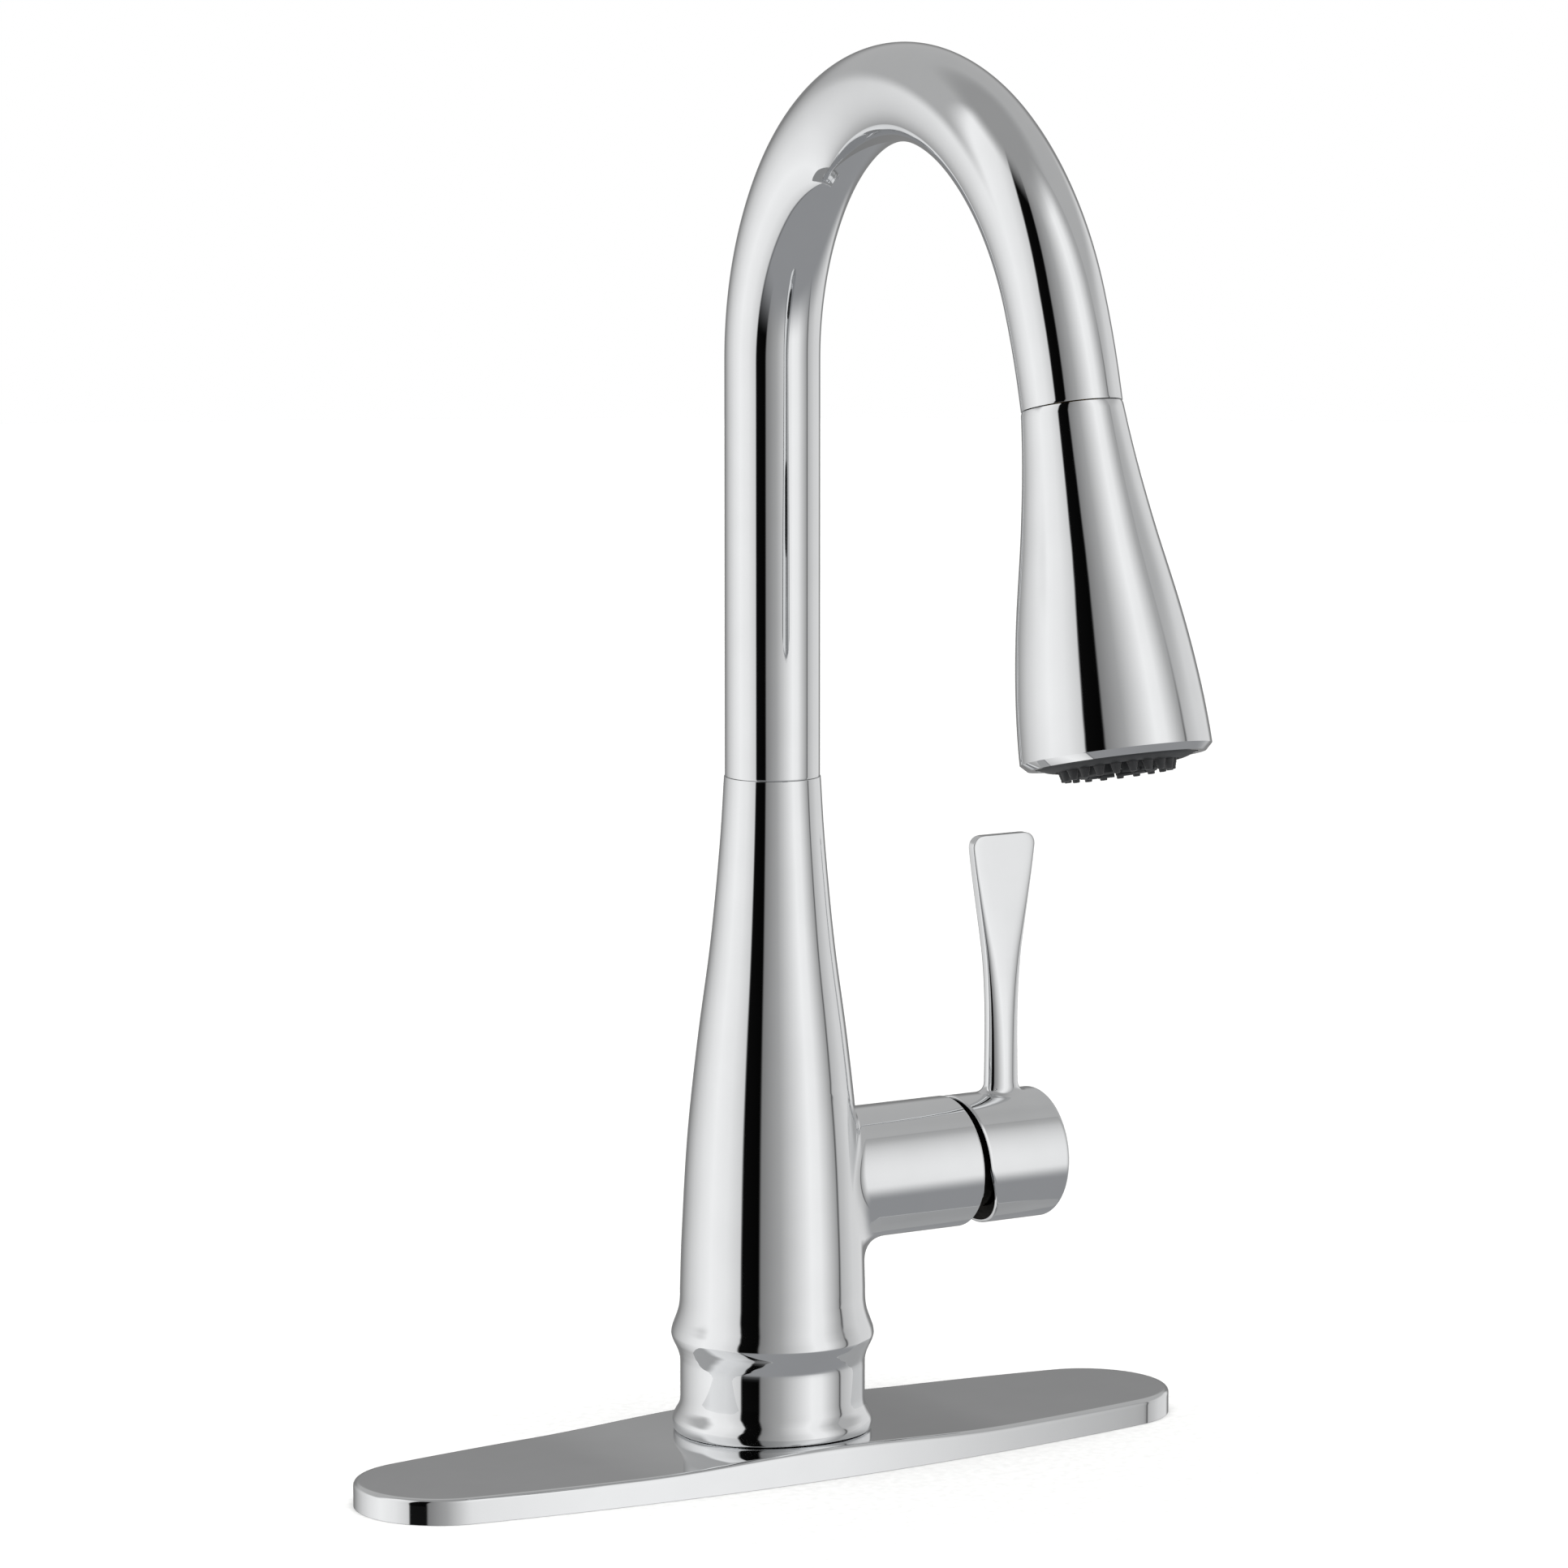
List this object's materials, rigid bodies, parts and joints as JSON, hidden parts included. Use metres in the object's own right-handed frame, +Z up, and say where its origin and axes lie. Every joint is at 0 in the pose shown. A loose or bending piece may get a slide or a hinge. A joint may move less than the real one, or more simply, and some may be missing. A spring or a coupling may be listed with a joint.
{
  "type": "pull-down kitchen faucet",
  "caption": "Chrome single-handle pull-down kitchen faucet with a high arc spout, flared spray head, side lever and a long oval deck plate.",
  "frame": {"origin": "centre of the deck hole, on the deck's surface, under the deck plate", "axes": "+Z up; -Y towards the front, where the spout reaches over the sink; +X along the deck plate, towards the handle"},
  "size_m": [0.26, 0.2227, 0.4878],
  "materials": {
    "chrome": "polished chrome plate, mirror bright",
    "brass": "machined, unplated",
    "steel": "zinc plated or stainless, turned",
    "dark_plastic": "dark grey moulded plastic, fine satin",
    "grey_plastic": "mid grey moulded plastic",
    "white_plastic": "natural acetal",
    "rubber": "matte moulded elastomer",
    "ceramic": "lapped alumina ceramic, satin",
    "braid": "woven nylon braid over a hose"
  },
  "bodies": {
    "base": {"deck_plate": "chrome", "plate_support": "dark_plastic", "plate_seal": "rubber", "faucet_body": "chrome", "body_seal": "rubber", "mounting_shank": "brass", "deck_washer_rubber": "rubber", "deck_washer_steel": "steel", "mounting_nut": "brass", "nut_screw_left": "steel", "nut_screw_right": "steel", "hot_inlet": "brass", "cold_inlet": "brass", "mixed_outlet": "brass", "cartridge_housing": "grey_plastic", "port_seal_hot": "rubber", "port_seal_cold": "rubber", "port_seal_mixed": "rubber", "valve_disc_fixed": "ceramic", "cartridge_cap": "white_plastic", "cartridge_nut": "brass", "bonnet": "chrome"},
    "spout": {"spout_tube": "chrome", "spout_stem": "brass", "spout_bearing_upper": "white_plastic", "spout_bearing_lower": "white_plastic", "spout_friction_ring": "rubber", "spout_clip": "steel", "pull_down_hose": "braid", "hose_coupling": "brass", "dock_collar": "dark_plastic"},
    "hose_end": {"hose_socket": "brass", "inlet_washer": "rubber"},
    "spray_head": {"head_shell": "chrome", "head_waterway": "dark_plastic", "check_valve": "white_plastic", "spray_plate": "dark_plastic", "nozzle_ring": "rubber", "aerator": "dark_plastic", "flow_disc": "white_plastic", "rocker_pin": "steel"},
    "rocker": {"rocker_button": "dark_plastic"},
    "diverter": {"diverter_spool": "grey_plastic"},
    "stem_turn": {"stem_yoke": "steel", "stem_pin": "steel"},
    "lever": {"handle": "chrome", "valve_stem": "steel", "lever_adapter": "brass", "handle_set_screw": "steel", "set_screw_plug": "grey_plastic"},
    "mixer": {"disc_carrier": "white_plastic", "valve_disc_moving": "ceramic"}
  },
  "joints": [
    {"name": "spout_swivel", "type": "hinge", "parent": "base", "child": "spout", "pos_m": [0, 0, 0.1923], "axis": [0, 0, 1], "range_deg": [-180, 180]},
    {"name": "head_pull", "type": "slide", "parent": "spout", "child": "hose_end", "axis": [0, -0.2317, -0.9728], "range_m": [0, 0.18], "stiffness_N_per_m": 20, "springref_m": -0.35},
    {"name": "head_spin", "type": "hinge", "parent": "hose_end", "child": "spray_head", "pos_m": [0, -0.14526, 0.30497], "axis": [0, -0.2317, -0.9728], "continuous": true},
    {"name": "mode_rocker", "type": "hinge", "parent": "spray_head", "child": "rocker", "pos_m": [0, -0.14399, 0.25635], "axis": [-1, 0, 0], "range_deg": [0, 8]},
    {"name": "diverter_slide", "type": "slide", "parent": "spray_head", "child": "diverter", "axis": [0, -0.2317, -0.9728], "range_m": [0, 0.0025]},
    {"name": "handle_temperature", "type": "hinge", "parent": "base", "child": "stem_turn", "pos_m": [0.061, 0, 0.0779], "axis": [1, 0, 0], "range_deg": [-45, 45]},
    {"name": "handle_flow", "type": "hinge", "parent": "stem_turn", "child": "lever", "pos_m": [0.061, 0, 0.0779], "axis": [0, 1, 0], "range_deg": [0, 18]},
    {"name": "mixer_slide", "type": "slide", "parent": "stem_turn", "child": "mixer", "axis": [0, 0, 1], "range_m": [0, 0.0045]}
  ],
  "couplings": [
    {"joint": "diverter_slide", "follows": "mode_rocker", "m_per_rad": 0.0165},
    {"joint": "mixer_slide", "follows": "handle_flow", "m_per_rad": 0.01335}
  ]
}
